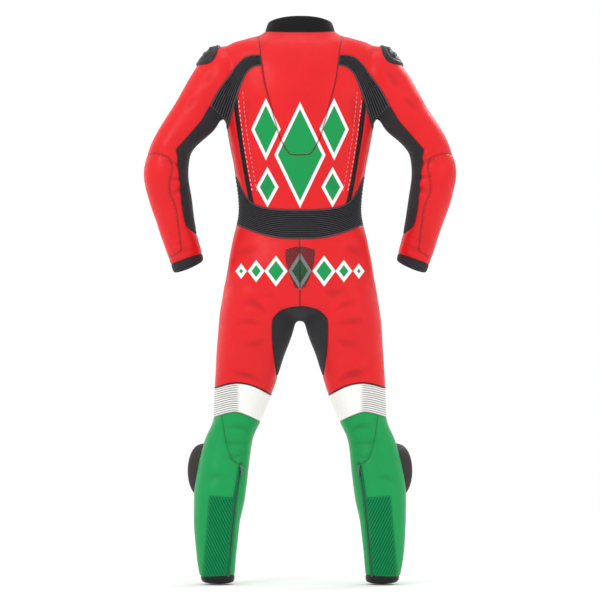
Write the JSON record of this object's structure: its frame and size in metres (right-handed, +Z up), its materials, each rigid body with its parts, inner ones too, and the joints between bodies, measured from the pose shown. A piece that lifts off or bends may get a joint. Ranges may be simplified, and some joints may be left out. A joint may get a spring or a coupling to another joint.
{
  "type": "motorcycle race suit",
  "caption": "One-piece leather motorcycle race suit, filled out as worn, with stretch panels, shoulder cups, knee sliders and zips.",
  "frame": {"origin": "base of the neck between the shoulders, where the wearer carries the suit", "axes": "+Z up, the front faces -Y, the wearer's left is +X"},
  "size_m": [0.812, 0.257, 1.47],
  "materials": {
    "leather_red": "satin",
    "leather_green": "satin",
    "leather_white": "satin",
    "leather_black": "satin",
    "stretch_dark": "matte",
    "stretch_green": "matte",
    "zip_tape": "matte",
    "hard_black": "gloss",
    "hard_brown": "matte",
    "zip_metal": "satin"
  },
  "bodies": {
    "suit": {"back_centre": "leather_red", "back": "leather_red", "side_left": "leather_red", "side_right": "leather_red", "sleeve_back_left": "leather_red", "sleeve_back_right": "leather_red", "elbow_left": "leather_red", "elbow_right": "leather_red", "sleeve_front_left": "leather_red", "sleeve_front_right": "leather_red", "front_left": "leather_red", "front_right": "leather_red", "thigh_front_left": "leather_red", "thigh_front_right": "leather_red", "seat_left": "leather_red", "seat_right": "leather_red", "calf_inner_left": "leather_green", "calf_inner_right": "leather_green", "calf_outer_left": "leather_green", "calf_outer_right": "leather_green", "shin_left": "leather_green", "shin_right": "leather_green", "knee_band_left": "leather_white", "knee_band_right": "leather_white", "lumbar_stretch": "stretch_dark", "crotch": "stretch_dark", "coccyx_patch": "stretch_dark", "blade_stretch_left": "stretch_dark", "blade_stretch_right": "stretch_dark", "undersleeve_left": "stretch_dark", "undersleeve_right": "stretch_dark", "sleeve_cuff_left": "stretch_dark", "sleeve_cuff_right": "stretch_dark", "calf_stretch_left": "stretch_green", "calf_stretch_right": "stretch_green", "collar": "leather_black", "back_strip_left": "leather_black", "back_strip_right": "leather_black", "ankle_cuff_left": "leather_black", "ankle_cuff_right": "leather_black", "front_zip": "zip_tape", "leg_zip_left": "zip_tape", "leg_zip_right": "zip_tape", "shoulder_cup_left": "hard_black", "shoulder_cup_right": "hard_black", "knee_slider_left": "hard_brown", "knee_slider_right": "hard_brown", "front_zip_slider": "zip_metal", "leg_zip_slider_left": "zip_metal", "leg_zip_slider_right": "zip_metal"},
    "front_pull": {"front_zip_pull": "zip_metal"},
    "leg_pull_left": {"leg_zip_pull_left": "zip_metal"},
    "leg_pull_right": {"leg_zip_pull_right": "zip_metal"}
  },
  "joints": [
    {"name": "front_pull_hinge", "type": "hinge", "parent": "suit", "child": "front_pull", "pos_m": [0, -0.06644, -0.00596], "axis": [-1, 0, 0], "range_deg": [0, 150]},
    {"name": "leg_pull_left_hinge", "type": "hinge", "parent": "suit", "child": "leg_pull_left", "pos_m": [0.15047, 0.0319, -1.12713], "axis": [0.6223, 0.7771, 0.0941], "range_deg": [0, 150]},
    {"name": "leg_pull_right_hinge", "type": "hinge", "parent": "suit", "child": "leg_pull_right", "pos_m": [-0.15047, 0.03186, -1.12712], "axis": [0.6225, -0.7769, -0.0941], "range_deg": [0, 150]}
  ]
}
